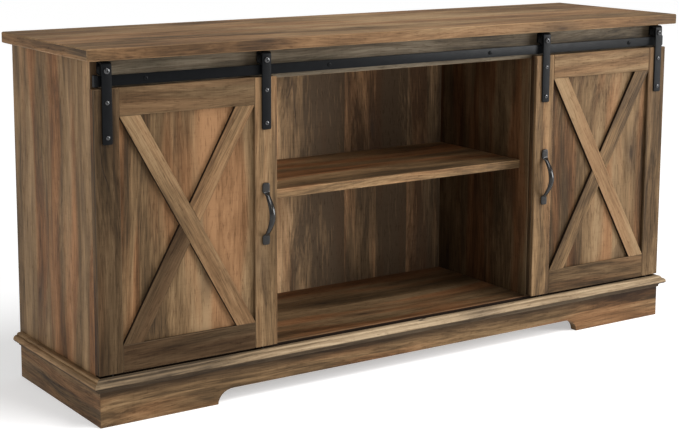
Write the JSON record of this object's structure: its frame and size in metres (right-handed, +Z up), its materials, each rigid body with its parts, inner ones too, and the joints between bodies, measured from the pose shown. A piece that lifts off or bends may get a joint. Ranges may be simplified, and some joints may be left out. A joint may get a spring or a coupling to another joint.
{
  "type": "tv stand with doors",
  "caption": "Farmhouse media console in rustic oak boards with sliding barn doors on a black flat steel track, an open middle bay and a moulded plinth.",
  "frame": {"origin": "on the floor, under the middle of the top, at the underside of the centre foot", "axes": "+X along the length to the right as seen from the front, +Y towards the back, +Z up"},
  "size_m": [1.473, 0.4147, 0.711],
  "materials": {
    "oak_case": "rustic oak grain print on board, satin, grain along the length of each board",
    "oak_trim": "rustic oak grain print with darker eased edges, satin",
    "oak_door_field": "redder rustic oak grain print, upright grain, satin",
    "oak_dark": "dark oak grain print, matt",
    "black_steel": "black powder coat, satin",
    "bronze_handle": "oil-rubbed dark bronze, satin",
    "black_nylon": "moulded black nylon"
  },
  "bodies": {
    "cabinet": {"back_panel": "oak_dark", "base_back": "oak_dark", "base_front": "oak_case", "base_left": "oak_case", "base_right": "oak_case", "bottom_panel": "oak_case", "centre_foot": "oak_dark", "centre_shelf": "oak_case", "header_board": "oak_case", "left_divider": "oak_case", "left_shelf": "oak_case", "left_side_panel": "oak_case", "left_track_stop": "black_steel", "moulding_front": "oak_case", "moulding_left": "oak_case", "moulding_right": "oak_case", "right_divider": "oak_case", "right_shelf": "oak_case", "right_side_panel": "oak_case", "right_track_stop": "black_steel", "top_panel": "oak_case", "track_bar": "black_steel", "track_bolt_1": "black_steel", "track_bolt_2": "black_steel", "track_bolt_3": "black_steel", "track_bolt_4": "black_steel"},
    "left_door": {"left_door_bottom_rail": "oak_trim", "left_door_handle": "bronze_handle", "left_door_left_stile": "oak_trim", "left_door_long_brace": "oak_trim", "left_door_lower_brace": "oak_trim", "left_door_panel": "oak_door_field", "left_door_right_stile": "oak_trim", "left_door_top_rail": "oak_trim", "left_door_upper_brace": "oak_trim", "left_guide_pin_1": "black_nylon", "left_guide_pin_2": "black_nylon", "left_inner_axle_bolt": "black_steel", "left_inner_hanger": "black_steel", "left_outer_axle_bolt": "black_steel", "left_outer_hanger": "black_steel"},
    "right_door": {"right_door_bottom_rail": "oak_trim", "right_door_handle": "bronze_handle", "right_door_left_stile": "oak_trim", "right_door_long_brace": "oak_trim", "right_door_lower_brace": "oak_trim", "right_door_panel": "oak_door_field", "right_door_right_stile": "oak_trim", "right_door_top_rail": "oak_trim", "right_door_upper_brace": "oak_trim", "right_guide_pin_1": "black_nylon", "right_guide_pin_2": "black_nylon", "right_inner_axle_bolt": "black_steel", "right_inner_hanger": "black_steel", "right_outer_axle_bolt": "black_steel", "right_outer_hanger": "black_steel"},
    "left_outer_wheel": {"left_outer_wheel": "black_nylon"},
    "left_inner_wheel": {"left_inner_wheel": "black_nylon"},
    "right_outer_wheel": {"right_outer_wheel": "black_nylon"},
    "right_inner_wheel": {"right_inner_wheel": "black_nylon"}
  },
  "joints": [
    {"name": "left_door_slide", "type": "slide", "parent": "cabinet", "child": "left_door", "axis": [1, 0, 0], "range_m": [0, 0.33]},
    {"name": "left_outer_wheel_spin", "type": "hinge", "parent": "left_door", "child": "left_outer_wheel", "pos_m": [-0.6933, -0.1756, 0.6693], "axis": [0, 1, 0], "continuous": true},
    {"name": "left_inner_wheel_spin", "type": "hinge", "parent": "left_door", "child": "left_inner_wheel", "pos_m": [-0.3558, -0.1756, 0.6693], "axis": [0, 1, 0], "continuous": true},
    {"name": "right_door_slide", "type": "slide", "parent": "cabinet", "child": "right_door", "axis": [-1, 0, 0], "range_m": [0, 0.33]},
    {"name": "right_outer_wheel_spin", "type": "hinge", "parent": "right_door", "child": "right_outer_wheel", "pos_m": [0.6933, -0.1756, 0.6693], "axis": [0, -1, 0], "continuous": true},
    {"name": "right_inner_wheel_spin", "type": "hinge", "parent": "right_door", "child": "right_inner_wheel", "pos_m": [0.3558, -0.1756, 0.6693], "axis": [0, -1, 0], "continuous": true}
  ],
  "couplings": [
    {"joint": "left_outer_wheel_spin", "follows": "left_door_slide", "rad_per_m": 105.26},
    {"joint": "left_inner_wheel_spin", "follows": "left_door_slide", "rad_per_m": 105.26},
    {"joint": "right_outer_wheel_spin", "follows": "right_door_slide", "rad_per_m": 105.26},
    {"joint": "right_inner_wheel_spin", "follows": "right_door_slide", "rad_per_m": 105.26}
  ]
}
